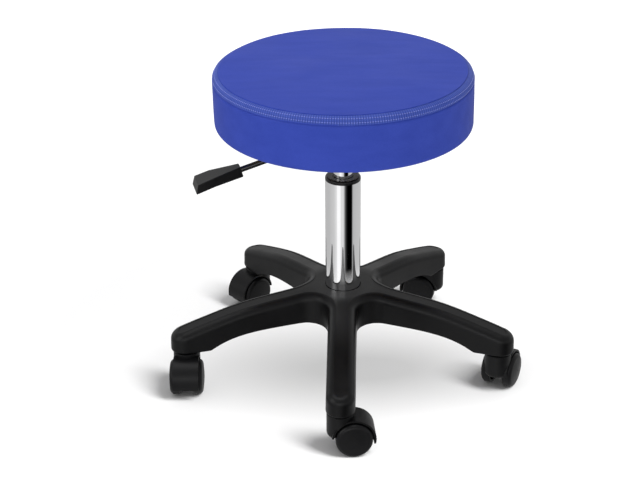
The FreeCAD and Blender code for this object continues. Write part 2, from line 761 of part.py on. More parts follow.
def lever_channel():
    """Pressed channel welded under the plate; it holds the socket and the lever's pivot."""
    inner = CHANNEL_INNER_WIDTH / 2
    outer = inner + CHANNEL_WALL
    flange = outer + CHANNEL_FLANGE
    web_z = CHANNEL_WEB_Z
    top_z = PLATE_BOTTOM_Z
    corners = [
        (-flange, top_z - CHANNEL_WALL),
        (-outer, top_z - CHANNEL_WALL),
        (-outer, web_z),
        (outer, web_z),
        (outer, top_z - CHANNEL_WALL),
        (flange, top_z - CHANNEL_WALL),
        (flange, top_z),
        (inner, top_z),
        (inner, web_z + CHANNEL_WALL),
        (-inner, web_z + CHANNEL_WALL),
        (-inner, top_z),
        (-flange, top_z),
    ]
    points = [Vector(CHANNEL_FRONT_X, y, z) for y, z in corners]
    section = Part.Face(Part.makePolygon(points + points[:1]))
    length = CHANNEL_BACK_X - CHANNEL_FRONT_X
    channel = section.extrude(Vector(length, 0, 0))

    def bends(y, z):
        """The two long edges at a distance y from the middle, at height z."""

        def is_bend(edge):
            p = middle(edge)
            along = abs(edge.tangentAt(edge.FirstParameter).x) > 0.9
            return along and abs(abs(p.y) - y) + abs(p.z - z) < CHANNEL_BEND_R / 10

        return edges_where(channel, is_bend)

    inside = bends(inner, web_z + CHANNEL_WALL) + bends(outer, top_z - CHANNEL_WALL)
    channel = channel.makeFillet(CHANNEL_BEND_R, inside)
    outside = bends(outer, web_z) + bends(inner, top_z)
    channel = channel.makeFillet(CHANNEL_BEND_R + CHANNEL_WALL, outside)
    socket_hole = Part.makeCylinder(SOCKET_R, 3 * CHANNEL_WALL, Vector(0, 0, web_z - CHANNEL_WALL))
    pin_hole = cylinder_y(PIVOT_PIN_R, -flange, flange, LEVER_PIVOT_X, LEVER_Z)
    return to_lever(channel.cut(socket_hole).cut(pin_hole))


def taper_socket():
    shoulder_z = CHANNEL_WEB_Z
    return turned(
        (gas_r(SOCKET_BOTTOM_Z), SOCKET_BOTTOM_Z),
        (SOCKET_R - TURNED_CHAMFER, SOCKET_BOTTOM_Z),
        (SOCKET_R, SOCKET_BOTTOM_Z + TURNED_CHAMFER),
        (SOCKET_R, shoulder_z - SOCKET_SHOULDER_HIGH),
        (SOCKET_SHOULDER_R, shoulder_z - SOCKET_SHOULDER_HIGH),
        (SOCKET_SHOULDER_R, shoulder_z),
        (SOCKET_R, shoulder_z),
        (SOCKET_R, SOCKET_TOP_Z),
        (gas_r(SOCKET_TOP_Z), SOCKET_TOP_Z),
    )


def lever_pivot_pin():
    reach = CHANNEL_INNER_WIDTH / 2 + CHANNEL_WALL
    pin = cylinder_y(PIVOT_PIN_R, -reach, reach, LEVER_PIVOT_X, LEVER_Z)
    near = cylinder_y(PIVOT_HEAD_R, -reach - PIVOT_HEAD_THICK, -reach, LEVER_PIVOT_X, LEVER_Z)
    far = cylinder_y(PIVOT_HEAD_R, reach, reach + PIVOT_HEAD_THICK, LEVER_PIVOT_X, LEVER_Z)
    return to_lever(pin.multiFuse([near, far]))


def hexagon_head(place):
    corner = Vector(BOLT_HEAD_FLATS / math.sqrt(3), 0, 0)
    points = [place + Rotation(UP, 60 * k).multVec(corner) for k in range(6)]
    return Part.Face(Part.makePolygon(points + points[:1])).extrude(UP * BOLT_HEAD_HIGH)


def plate_bolts():
    head_top_z = PLATE_BOTTOM_Z - WASHER_THICK
    bolts = []
    for place in bolt_places(head_top_z - BOLT_HEAD_HIGH):
        shank = Part.makeCylinder(BOLT_R, BOLT_HEAD_HIGH + BOLT_LONG, place)
        bolts.append(to_lever(hexagon_head(place).fuse(shank).removeSplitter()))
    return bolts


def plate_washers():
    washers = []
    for place in bolt_places(0):
        washer = ring(BOLT_R + WASHER_CLEAR, WASHER_R, PLATE_BOTTOM_Z - WASHER_THICK, PLATE_BOTTOM_Z)
        washer.translate(place)
        washers.append(to_lever(washer))
    return washers


def tee_nuts():
    """Flanged nuts let into the board's top."""
    nuts = []
    bore = BOLT_R + THREAD_CLEAR
    for place in bolt_places(0):
        nut = turned(
            (bore, BOARD_TOP_Z - TEE_LONG),
            (TEE_BARREL_R, BOARD_TOP_Z - TEE_LONG),
            (TEE_BARREL_R, BOARD_TOP_Z - TEE_FLANGE_THICK),
            (TEE_FLANGE_R, BOARD_TOP_Z - TEE_FLANGE_THICK),
            (TEE_FLANGE_R, BOARD_TOP_Z),
            (bore, BOARD_TOP_Z),
        )
        nut.translate(place)
        nuts.append(to_lever(nut))
    return nuts


# ---- lever ----
def lever_bend():
    """Horizontal distance from the column to the bend, where the drooping line is level."""
    return (LEVER_LINE_Z - LEVER_Z) / math.tan(math.radians(LEVER_DROOP))


def on_lever_line(along, across, rise):
    """Point in the drooping part's own frame: along it, across it and square above it."""
    droop = math.radians(LEVER_DROOP)
    start = Vector(0, 0, LEVER_LINE_Z)
    outward = Vector(-math.cos(droop), 0, -math.sin(droop))
    square = Vector(-math.sin(droop), 0, math.cos(droop))
    return start + outward * along + Vector(0, across, 0) + square * rise


def lever_rod():
    droop = math.radians(LEVER_DROOP)
    bend = Vector(-lever_bend(), 0, LEVER_Z)
    trim = LEVER_BEND_R * math.tan(droop / 2)
    outward = Vector(-math.cos(droop), 0, -math.sin(droop))
    start = Vector(LEVER_INNER_X, 0, LEVER_Z)
    before = bend + Vector(trim, 0, 0)
    after = bend + outward * trim
    centre = before - Vector(0, 0, LEVER_BEND_R)
    half = droop / 2
    way = centre + Vector(-math.sin(half), 0, math.cos(half)) * LEVER_BEND_R
    end = on_lever_line(GRIP_START + LEVER_IN_GRIP, 0, 0)
    arc = Part.Arc(before, way, after).toShape()
    path = Part.Wire([Part.makeLine(start, before), arc, Part.makeLine(after, end)])
    circle = Part.Wire(Part.makeCircle(LEVER_ROD_R, start, Vector(1, 0, 0)))
    rod = path.makePipeShell([circle], True, False)
    pin_r = PIVOT_PIN_R + PIVOT_CLEAR
    pin_hole = cylinder_y(pin_r, -2 * LEVER_ROD_R, 2 * LEVER_ROD_R, LEVER_PIVOT_X, LEVER_Z)
    return to_lever(rod.cut(pin_hole))


def grip_section(along, slant, inset, sizes):
    """Cross-section of the grip with its corners cut, drawn in by inset."""
    top_half, low_half, above, below = (size - inset for size in sizes)
    outline = [
        (top_half - GRIP_EDGE, above),
        (top_half, above - GRIP_EDGE),
        (low_half, GRIP_EDGE - below),
        (low_half - GRIP_EDGE, -below),
    ]
    outline += [(-across, high) for across, high in reversed(outline)]
    corners = []
    for across, high in outline:
        lean = slant * (above - high) / (above + below)
        corners.append(on_lever_line(along + lean, across, high))
    return Part.makePolygon(corners + corners[:1])


def lever_grip():
    """Faceted paddle grip pushed onto the rod's end."""
    end = GRIP_START + GRIP_LONG
    sections = [
        grip_section(GRIP_START, 0, GRIP_EDGE, GRIP_INNER),
        grip_section(GRIP_START + GRIP_EDGE, 0, 0, GRIP_INNER),
        grip_section(GRIP_START + GRIP_BREAK, 0, 0, GRIP_MIDDLE),
        grip_section(end - GRIP_EDGE, GRIP_END_SLANT, 0, GRIP_OUTER),
        grip_section(end, GRIP_END_SLANT, GRIP_EDGE, GRIP_OUTER),
    ]
    grip = Part.makeLoft(sections, True, True)
    bore_start = on_lever_line(GRIP_START - CUT_SPARE, 0, 0)
    bore_end = on_lever_line(GRIP_START + LEVER_IN_GRIP, 0, 0)
    bore_long = LEVER_IN_GRIP + CUT_SPARE
    bore = Part.makeCylinder(LEVER_ROD_R, bore_long, bore_start, bore_end - bore_start)
    return to_lever(grip.cut(bore))


# ---- seat ----
def seat_outline(inset):
    """Half section of the cushion from its flat top to its foot, drawn in by inset."""
    top_z = SEAT_TOP_Z - inset
    side_r = SEAT_R - inset
    corner_shift = inset * math.tan(math.radians(22.5))
    band_r = BAND_INNER_R - corner_shift
    band_z = SEAT_TOP_Z - BAND_LOW_DROP - corner_shift
    low_z = SEAT_BOTTOM_Z + inset
    round_r = BOTTOM_ROUND - inset
    lean = round_r * (1 - math.sqrt(0.5))
    band_wide = side_r - band_r
    band_high = top_z - band_z
    bulge = BAND_BULGE / math.hypot(band_wide, band_high)
    band_way = (
        (band_r + side_r) / 2 + band_high * bulge,
        (band_z + top_z) / 2 + band_wide * bulge,
    )
    return [
        (0, top_z),
        (band_r - 2 * SEAM_GROOVE, top_z),
        (band_r, top_z - SEAM_GROOVE),
        (band_way, (side_r - SEAM_GROOVE, band_z)),
        (side_r, band_z - SEAM_GROOVE_HIGH),
        (side_r, low_z + round_r),
        ((side_r - lean, low_z + lean), (side_r - round_r, low_z)),
    ]


def seat_cover():
    """Vinyl skin, folded under the board and stapled there."""
    fold_r = BOARD_R - FOLD_WIDTH
    outer = turned(*seat_outline(0), (0, SEAT_BOTTOM_Z))
    inner = turned(*seat_outline(COVER_WALL), (0, SEAT_BOTTOM_Z + COVER_WALL))
    mouth = Part.makeCylinder(fold_r, COVER_WALL * 3, Vector(0, 0, SEAT_BOTTOM_Z - COVER_WALL))
    return outer.cut(inner).cut(mouth)


def seat_board():
    board = Part.makeCylinder(BOARD_R, BOARD_THICK, Vector(0, 0, BOARD_BOTTOM_Z))
    low_edges = [edge for edge in board.Edges if edge.BoundBox.ZMax < BOARD_TOP_Z]
    board = board.makeFillet(BOTTOM_ROUND - BOARD_INSET, low_edges)
    for place in bolt_places(0):
        sink = Vector(0, 0, BOARD_TOP_Z - TEE_FLANGE_THICK)
        hole = Part.makeCylinder(TEE_BARREL_R, BOARD_THICK, place + Vector(0, 0, BOARD_BOTTOM_Z))
        seat = Part.makeCylinder(TEE_FLANGE_R, TEE_FLANGE_THICK, place + sink)
        board = board.cut(to_lever(hole.fuse(seat)))
    return board


def seat_foam():
    """Moulded foam on the board, with a skirt over the board's edge."""
    foam = turned(*seat_outline(COVER_WALL), (0, SEAT_BOTTOM_Z + COVER_WALL))
    return foam.cut(Part.makeCylinder(BOARD_R, BOARD_THICK, Vector(0, 0, BOARD_BOTTOM_Z)))


def cover_staples():
    """Staple crowns that hold the cover's fold to the board."""
    staples = []
    inner_r = BOARD_R - STAPLE_INSET
    for k in range(STAPLE_COUNT):
        crown = box_between(
            (inner_r, -STAPLE_LONG / 2, SEAT_BOTTOM_Z - STAPLE_WIRE),
            (inner_r + STAPLE_WIDE, STAPLE_LONG / 2, SEAT_BOTTOM_Z),
        )
        staples.append(turned_copy(crown, 360 / STAPLE_COUNT * k))
    return staples


# ---- casters, drawn with the stem on the Z axis and the axle trailing towards +X ----
def caster_hood():
    """Fender over the wheels, a barrel with a rounded chin round the stem, and the web between."""
    axle_z = WHEEL_R
    fender = cylinder_y(HOOD_R, -HOOD_HALF, HOOD_HALF, CASTER_TRAIL, axle_z)
    chin_z = axle_z - HOOD_CHIN_BELOW_AXLE
    chin_bend = HOOD_CHIN_ROUND * (1 - math.sqrt(0.5))
    neck = turned(
        (0, chin_z),
        (HOOD_NECK_R - HOOD_CHIN_ROUND, chin_z),
        ((HOOD_NECK_R - chin_bend, chin_z + chin_bend), (HOOD_NECK_R, chin_z + HOOD_CHIN_ROUND)),
        (HOOD_NECK_R, HOOD_TOP_Z - HOOD_EDGE),
        (HOOD_NECK_R - HOOD_EDGE, HOOD_TOP_Z),
        (0, HOOD_TOP_Z),
    )
    far = HOOD_R + CASTER_TRAIL
    below_lip = box_between((-far, -far, -far), (far, far, axle_z - HOOD_LIP_BELOW_AXLE))
    below_brow = box_between((-far, -far, -far), (0, far, axle_z + HOOD_BROW_ABOVE_AXLE))
    hood = fender.cut(below_lip).cut(below_brow).fuse(neck)
    boss = cylinder_y(HOOD_AXLE_BOSS_R, -HOOD_WEB_HALF, HOOD_WEB_HALF, CASTER_TRAIL, axle_z)
    hood = hood.fuse(boss)
    for side in (-1, 1):
        near_y, far_y = sorted((side * HOOD_WEB_HALF, side * (HOOD_HALF + CUT_SPARE)))
        hood = hood.cut(cylinder_y(HOOD_ARCH_R, near_y, far_y, CASTER_TRAIL, axle_z))
    core = cylinder_y(HOOD_ARCH_R, -HOOD_CORE_HALF, HOOD_CORE_HALF, CASTER_TRAIL, axle_z)
    core = core.cut(cylinder_y(HOOD_AXLE_BOSS_R, -HOOD_HALF, HOOD_HALF, CASTER_TRAIL, axle_z))
    core = core.cut(Part.makeCylinder(HOOD_STEM_BOSS_R, HOOD_TOP_Z))
    hood = hood.cut(core)
    hood = hood.cut(cylinder_y(AXLE_R, -HOOD_HALF, HOOD_HALF, CASTER_TRAIL, axle_z))
    return hood.cut(Part.makeCylinder(STEM_R, HOOD_TOP_Z, Vector(0, 0, STEM_BOTTOM_Z)))


def caster_stem():
    collar_top = ARM_END_Z - STEM_COLLAR_GAP
    return turned(
        (0, STEM_BOTTOM_Z),
        (STEM_R, STEM_BOTTOM_Z),
        (STEM_R, HOOD_TOP_Z),
        (STEM_COLLAR_R, HOOD_TOP_Z),
        (STEM_COLLAR_R, collar_top),
        (STEM_R, collar_top),
        (STEM_R, STEM_GROOVE_Z),
        (STEM_GROOVE_R, STEM_GROOVE_Z),
        (STEM_GROOVE_R, STEM_GROOVE_Z + GRIP_RING_HIGH + 2 * GRIP_RING_GAP),
        (STEM_R, STEM_GROOVE_Z + GRIP_RING_HIGH + 2 * GRIP_RING_GAP),
        (STEM_R, STEM_TOP_Z - TURNED_CHAMFER),
        (STEM_R - TURNED_CHAMFER, STEM_TOP_Z),
        (0, STEM_TOP_Z),
    )


def caster_axle():
    return cylinder_y(AXLE_R, -AXLE_HALF, AXLE_HALF, CASTER_TRAIL, WHEEL_R)


def caster_wheel():
    """Domed wheel, turned about Z with its inner face down, then laid onto the axle."""
    bore = AXLE_R + AXLE_CLEAR
    bore_end = AXLE_HALF + AXLE_END_SPACE
    face = WHEEL_INNER_Y + WHEEL_HUB_PROUD
    rim_r = WHEEL_R - WHEEL_RIM
    disc_y = WHEEL_TREAD_Y - WHEEL_DISC_IN
    shoulder = (WHEEL_R - WHEEL_SHOULDER_IN, WHEEL_TREAD_Y + WHEEL_SHOULDER_OUT)
    dome_r = WHEEL_R - WHEEL_DOME_IN
    dome_y = WHEEL_TREAD_Y + WHEEL_DOME_OUT
    crown_y = dome_y + WHEEL_CROWN
    dome_way = cap_middle(dome_r, dome_y, crown_y)
    wheel = turned(
        (bore, WHEEL_INNER_Y),
        (WHEEL_HUB_R, WHEEL_INNER_Y),
        (WHEEL_HUB_R, disc_y),
        (rim_r, disc_y),
        (rim_r, face),
        (WHEEL_R - WHEEL_EDGE, face),
        (WHEEL_R, face + WHEEL_EDGE),
        (WHEEL_R, WHEEL_TREAD_Y),
        (shoulder, (dome_r, dome_y)),
        (dome_way, (0, crown_y)),
        (0, bore_end),
        (bore, bore_end),
    )
    wheel.rotate(ORIGIN, Vector(1, 0, 0), -90)
    wheel.translate(Vector(CASTER_TRAIL, 0, WHEEL_R))
    return wheel


def grip_rings():
    """Split rings held in the base's sockets; each sits in its stem's groove."""
    rings = []
    for angle in arm_angles():
        low_z = STEM_GROOVE_Z + GRIP_RING_GAP
        snap = ring(STEM_GROOVE_R + GRIP_RING_GAP, STEM_R + STEM_CLEAR, low_z, low_z + GRIP_RING_HIGH)
        split_half = GRIP_RING_SPLIT / 2
        split_high = low_z + GRIP_RING_HIGH
        split = box_between((0, -split_half, low_z), (2 * STEM_R, split_half, split_high))
        snap = snap.cut(split)
        snap.translate(stem_place(angle, 0))
        rings.append(snap)
    return rings


def place_caster(shape, index):
    placed = turned_copy(shape, TRAIL_ANGLES[index])
    placed.translate(stem_place(arm_angles()[index], 0))
    return placed


def main():
    os.makedirs("parts", exist_ok=True)
    valve, liner, seal, guide = gas_lift_fill()

    save("star_base", star_base())
    save("hub_ring", hub_ring())
    save("column_tube", column_tube())
    save("guide_bush", guide_bush())
    save("thrust_washer_lower", rod_washer(THRUST_LOW_Z, THRUST_WASHER_CLEAR))
    save("caster_grip_rings", *grip_rings())

    save("bearing_cage", bearing_cage())
    save("bearing_balls", *bearing_balls())

    save("piston_rod", piston_rod())
    save("piston", piston())
    save("retaining_clip", retaining_clip())
    save("thrust_washer_upper", rod_washer(THRUST_HIGH_Z, 0))
    save("buffer", buffer())

    save("pressure_tube", pressure_tube())
    save("valve_body", valve)
    save("inner_cylinder", liner)
    save("rod_seal", seal)
    save("rod_guide", guide)
    save("valve_pin", valve_pin())

    save("mounting_plate", mounting_plate())
    save("lever_channel", lever_channel())
    save("taper_socket", taper_socket())
    save("lever_pivot_pin", lever_pivot_pin())
    save("plate_bolts", *plate_bolts())
    save("plate_washers", *plate_washers())
    save("seat_tee_nuts", *tee_nuts())
    save("lever_rod", lever_rod())
    save("lever_grip", lever_grip())

    save("seat_board", seat_board())
    save("seat_foam", seat_foam())
    save("seat_cover", seat_cover())
    save("cover_staples", *cover_staples())

    hood = caster_hood()
    stem = caster_stem()
    axle = caster_axle()
    wheel = caster_wheel()
    other_wheel = wheel.copy()
    other_wheel.rotate(Vector(CASTER_TRAIL, 0, 0), UP, 180)
    for index, name in enumerate(CASTER_NAMES):
        save("hood_" + name, place_caster(hood, index))
        save("stem_" + name, place_caster(stem, index))
        save("axle_" + name, place_caster(axle, index))
        save("wheel_left_" + name, place_caster(wheel, index))
        save("wheel_right_" + name, place_caster(other_wheel, index))


main()
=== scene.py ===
import math
import random

import bmesh
import bpy
from mathutils import Matrix, Vector, noise
from mathutils.bvhtree import BVHTree


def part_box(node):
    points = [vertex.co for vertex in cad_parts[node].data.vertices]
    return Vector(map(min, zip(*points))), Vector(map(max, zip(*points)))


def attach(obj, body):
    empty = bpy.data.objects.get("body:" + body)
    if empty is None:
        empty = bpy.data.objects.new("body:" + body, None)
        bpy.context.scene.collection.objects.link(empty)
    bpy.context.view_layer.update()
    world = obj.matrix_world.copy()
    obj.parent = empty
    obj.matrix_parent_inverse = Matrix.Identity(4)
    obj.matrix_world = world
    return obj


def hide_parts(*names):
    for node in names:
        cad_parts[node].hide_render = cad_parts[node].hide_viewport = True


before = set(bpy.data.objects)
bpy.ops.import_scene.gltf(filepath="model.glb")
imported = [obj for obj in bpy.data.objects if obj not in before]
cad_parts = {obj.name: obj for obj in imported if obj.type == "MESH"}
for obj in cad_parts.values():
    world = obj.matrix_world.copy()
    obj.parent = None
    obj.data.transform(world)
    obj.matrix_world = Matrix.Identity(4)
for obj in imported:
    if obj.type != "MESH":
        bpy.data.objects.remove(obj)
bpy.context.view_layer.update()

scene = bpy.context.scene
scene.view_settings.view_transform = "Standard"


# ---- camera ----
# The stool is seen from in front and above. The column's axis stands a little right of the
# picture's middle, which the lens shift brings about.
PICTURE_WIDE = 630
AXIS_PIXEL = 342.95
FOCAL_PIXELS = 1528.3
SENSOR_WIDE = 36.0
CAMERA_BACK = 1.9575
CAMERA_HIGH = 1.1635
CAMERA_PITCH = math.radians(26.59)

camera_lens = bpy.data.cameras.new("stool_camera")
camera_lens.sensor_width = SENSOR_WIDE
camera_lens.lens = FOCAL_PIXELS / PICTURE_WIDE * SENSOR_WIDE
camera_lens.shift_x = (PICTURE_WIDE / 2 - AXIS_PIXEL) / PICTURE_WIDE
camera = bpy.data.objects.new("stool_camera", camera_lens)
camera.location = (0, -CAMERA_BACK, CAMERA_HIGH)
camera.rotation_euler = (math.pi / 2 - CAMERA_PITCH, 0, 0)
scene.collection.objects.link(camera)
scene.camera = camera


# ---- studio: floor, room and lamps ----
# A plain white floor, in a pale grey room, with a painted shadow under the base: its colour
# darkens softly there. Shiny metal sees the room as upright bright and black panels under a
# ceiling. Three soft lamps light the stool, and a fourth lights only the floor, where each caster
# casts its short shadow.
FLOOR_HALF = 6.0
FLOOR_TONE = 0.775
# Painted shadow: the floor's colour darkens towards a soft oval pool under the base.
PAINTED_SHADOW_TONE = 0.475
PAINTED_SHADOW_MIDDLE = (0.03, -0.023)
PAINTED_SHADOW_SQUEEZE = 0.42
PAINTED_SHADOW_INNER_R = 0.030
PAINTED_SHADOW_OUTER_R = 0.145
GLOW_FAR_OFF = 0.60
GLOW_START_R = 0.45
GLOW_END_R = 1.6
MIRRORED_SHARE = 0.54
MIRRORED_INNER_R = 0.27
MIRRORED_OUTER_R = 0.34
ROOM_TONE = 0.62
HORIZON_LOW = -0.12
HORIZON_HIGH = 0.10
PANEL_TONES = (  # degrees round from the front, tone
    (-180, 0.02), (-170, 0.05), (-163, 0.50), (-100, 0.52), (-60, 0.62), (-41, 0.80), (-37, 1.05),
    (-18, 1.05), (-13, 0.78), (3, 0.74), (8, 0.45), (13, 0.15), (20, 0.03), (30, 0.0),
    (56, 0.0), (61, 0.02), (68, 0.48), (90, 0.54), (140, 0.56), (163, 0.60), (172, 0.05),
    (180, 0.02),
)
CEILING_TONES = (  # height of the direction, tone
    (0.0, 0.75), (0.10, 0.9), (0.20, 1.45), (0.36, 0.80), (0.50, 0.66), (0.75, 0.74), (0.95, 0.90),
)


def new_material(name):
    """Empty node material with its Principled shader joined to the output."""
    material = bpy.data.materials.new(name)
    material.use_nodes = True
    tree = material.node_tree
    tree.nodes.clear()
    shader = tree.nodes.new("ShaderNodeBsdfPrincipled")
    output = tree.nodes.new("ShaderNodeOutputMaterial")
    tree.links.new(shader.outputs["BSDF"], output.inputs["Surface"])
    return material, tree, shader


def math_node(tree, operation, first, second=None):
    """One sum, whose parts are numbers or sockets."""
    node = tree.nodes.new("ShaderNodeMath")
    node.operation = operation
    for socket, value in zip(node.inputs, (first, second)):
        if isinstance(value, (int, float)):
            socket.default_value = value
        elif value is not None:
            tree.links.new(value, socket)
    return node.outputs["Value"]


def colour_between(tree, share, low, high):
    """Mixes two colours, each given as numbers or as a socket."""
    mix = tree.nodes.new("ShaderNodeMix")
    mix.data_type = "RGBA"
    tree.links.new(share, mix.inputs["Factor"])
    for name, value in (("A", low), ("B", high)):
        socket = [s for s in mix.inputs if s.name == name and s.type == "RGBA"][0]
        if isinstance(value, tuple):
            socket.default_value = value + (1,)
        else:
            tree.links.new(value, socket)
    return [s for s in mix.outputs if s.type == "RGBA"][0]


def between(tree, value, low, high, to_low=0.0, to_high=1.0):
    """Maps a value from low..high onto to_low..to_high and keeps it in there."""
    node = tree.nodes.new("ShaderNodeMapRange")
    tree.links.new(value, node.inputs["Value"])
    node.inputs["From Min"].default_value = low
    node.inputs["From Max"].default_value = high
    node.inputs["To Min"].default_value = to_low
    node.inputs["To Max"].default_value = to_high
    return node.outputs["Result"]


def reach_node(tree, place):
    """Distance of a place from the origin."""
    node = tree.nodes.new("ShaderNodeVectorMath")
    node.operation = "LENGTH"
    tree.links.new(place, node.inputs[0])
    return node.outputs["Value"]


def stretched(tree, place, scale, shift=(0, 0, 0)):
    """Place scaled along each axis and then shifted."""
    node = tree.nodes.new("ShaderNodeMapping")
    node.inputs["Location"].default_value = shift
    node.inputs["Scale"].default_value = scale
    tree.links.new(place, node.inputs["Vector"])
    return node.outputs["Vector"]


def tone_ramp(tree, share, tones):
    """Grey ramp through (position, tone) pairs."""
    ramp = tree.nodes.new("ShaderNodeValToRGB")
    tree.links.new(share, ramp.inputs["Fac"])
    while len(ramp.color_ramp.elements) < len(tones):
        ramp.color_ramp.elements.new(0.5)
    for element, (position, tone) in zip(ramp.color_ramp.elements, tones):
        element.position = position
        element.color = (tone, tone, tone, 1)
    return ramp.outputs["Color"]


bpy.ops.mesh.primitive_plane_add(size=2 * FLOOR_HALF)
floor = bpy.context.object
floor.name = "studio_floor"
floor_paint, tree, shader = new_material("studio_white")
shader.inputs["Roughness"].default_value = 1.0
shader.inputs["Specular IOR Level"].default_value = 0.0
shader.inputs["Emission Color"].default_value = (1, 1, 1, 1)
rays = tree.nodes.new("ShaderNodeLightPath")
spot = tree.nodes.new("ShaderNodeTexCoord").outputs["Object"]
# Painted shadow under the base: the floor's colour darkens in a soft oval pool round a point near
# the column.
painted_shadow_shift = (-PAINTED_SHADOW_SQUEEZE * PAINTED_SHADOW_MIDDLE[0], -PAINTED_SHADOW_MIDDLE[1], 0)
in_painted_shadow = reach_node(tree, stretched(tree, spot, (PAINTED_SHADOW_SQUEEZE, 1, 1), painted_shadow_shift))
tone = between(tree, in_painted_shadow, PAINTED_SHADOW_INNER_R, PAINTED_SHADOW_OUTER_R, PAINTED_SHADOW_TONE, FLOOR_TONE)
tree.links.new(tone, shader.inputs["Base Color"])
far_off = reach_node(tree, spot)
glow = between(tree, far_off, GLOW_START_R, GLOW_END_R, 0.0, GLOW_FAR_OFF)
glow = math_node(tree, "MULTIPLY", rays.outputs["Is Camera Ray"], glow)
tree.links.new(glow, shader.inputs["Emission Strength"])
unseen = between(tree, far_off, MIRRORED_INNER_R, MIRRORED_OUTER_R, 1 - MIRRORED_SHARE, 1.0)
unseen = math_node(tree, "MULTIPLY", rays.outputs["Is Glossy Ray"], unseen)
clear = tree.nodes.new("ShaderNodeBsdfTransparent")
floor_mix = tree.nodes.new("ShaderNodeMixShader")
tree.links.new(unseen, floor_mix.inputs["Fac"])
tree.links.new(shader.outputs["BSDF"], floor_mix.inputs[1])
tree.links.new(clear.outputs["BSDF"], floor_mix.inputs[2])
tree.links.new(floor_mix.outputs["Shader"], tree.nodes["Material Output"].inputs["Surface"])
floor.data.materials.append(floor_paint)

room = bpy.data.worlds.new("studio_room")
scene.world = room
room.use_nodes = True
tree = room.node_tree
direction = tree.nodes.new("ShaderNodeSeparateXYZ")
where = tree.nodes.new("ShaderNodeTexCoord")
tree.links.new(where.outputs["Generated"], direction.inputs["Vector"])
toward = math_node(tree, "MULTIPLY", direction.outputs["Y"], -1)
around = math_node(tree, "ARCTAN2", direction.outputs["X"], toward)
around = math_node(tree, "ADD", math_node(tree, "DIVIDE", around, 2 * math.pi), 0.5)
panels = tone_ramp(tree, around, [(degrees / 360 + 0.5, tone) for degrees, tone in PANEL_TONES])
ceiling = tone_ramp(tree, direction.outputs["Z"], CEILING_TONES)
above = between(tree, direction.outputs["Z"], HORIZON_LOW, HORIZON_HIGH)
seen_in_metal = colour_between(tree, above, panels, ceiling)
rays = tree.nodes.new("ShaderNodeLightPath")
plain = (ROOM_TONE, ROOM_TONE, ROOM_TONE)
colour = colour_between(tree, rays.outputs["Is Glossy Ray"], plain, seen_in_metal)
colour = colour_between(tree, rays.outputs["Is Camera Ray"], colour, (1.0, 1.0, 1.0))
tree.links.new(colour, tree.nodes["Background"].inputs["Color"])


def soft_lamp(name, place, target, wide, high, watts):
    """Square-edged softbox at a place in metres, turned towards its target."""
    lamp = bpy.data.lights.new(name, "AREA")
    lamp.shape = "RECTANGLE"
    lamp.size = wide
    lamp.size_y = high
    lamp.energy = watts
    stand = bpy.data.objects.new(name, lamp)
    stand.location = place
    stand.rotation_euler = (Vector(target) - Vector(place)).to_track_quat("-Z", "Y").to_euler()
    scene.collection.objects.link(stand)
    return stand


stool_lamps = (
    soft_lamp(
        "overhead_softbox", place=(-0.25, 0.10, 2.6), target=(0, 0, 0.2), wide=1.8, high=1.8,
        watts=26,
    ),
    soft_lamp(
        "front_panel", place=(-0.4, -3.0, 0.9), target=(0, 0, 0.2), wide=2.4, high=0.8, watts=19
    ),
    soft_lamp(
        "left_softbox", place=(-2.2, -1.2, 1.5), target=(0, 0, 0.3), wide=1.2, high=1.6, watts=19
    ),
)
off_floor = bpy.data.collections.new("off_floor")
off_floor.objects.link(floor)
off_floor.collection_objects[0].light_linking.link_state = "EXCLUDE"
for lamp in stool_lamps:
    lamp.light_linking.receiver_collection = off_floor

floor_lamp = soft_lamp(
    "floor_lamp", place=(1.9, -1.2, 2.8), target=(0, 0, 0), wide=1.0, high=2.4, watts=155
)
on_floor = bpy.data.collections.new("on_floor")
on_floor.objects.link(floor)
floor_lamp.light_linking.receiver_collection = on_floor
casters = bpy.data.collections.new("caster_shadows")
for name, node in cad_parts.items():
    if name.startswith(("hood_", "wheel_")):
        casters.objects.link(node)
floor_lamp.light_linking.blocker_collection = casters


# ---- surface effects that several finishes share ----
# Moulded and painted parts carry a fine grain, and every handled or rolled part has uneven
# dulling. Each is a node group that reads object coordinates.
def effect_group(name, inputs, outputs):
    """Empty group with number sockets, and its input and output nodes."""
    group = bpy.data.node_groups.new(name, "ShaderNodeTree")
    for socket, value in inputs:
        made = group.interface.new_socket(socket, in_out="INPUT", socket_type="NodeSocketFloat")
        made.default_value = value
    for socket in outputs:
        group.interface.new_socket(socket, in_out="OUTPUT", socket_type="NodeSocketFloat")
    return group, group.nodes.new("NodeGroupInput"), group.nodes.new("NodeGroupOutput")


def object_place(tree):
    return tree.nodes.new("ShaderNodeTexCoord").outputs["Object"]


def noise_node(tree, scale, detail, roughness=0.5, stretch=None, twist=0.0):
    """Noise on object coordinates, or on stretched ones. scale is a number or a socket."""
    place = object_place(tree)
    if stretch:
        place = stretched(tree, place, stretch)
    texture = tree.nodes.new("ShaderNodeTexNoise")
    tree.links.new(place, texture.inputs["Vector"])
    if isinstance(scale, (int, float)):
        texture.inputs["Scale"].default_value = scale
    else:
        tree.links.new(scale, texture.inputs["Scale"])
    texture.inputs["Detail"].default_value = detail
    texture.inputs["Roughness"].default_value = roughness
    texture.inputs["Distortion"].default_value = twist
    return texture.outputs["Fac"]


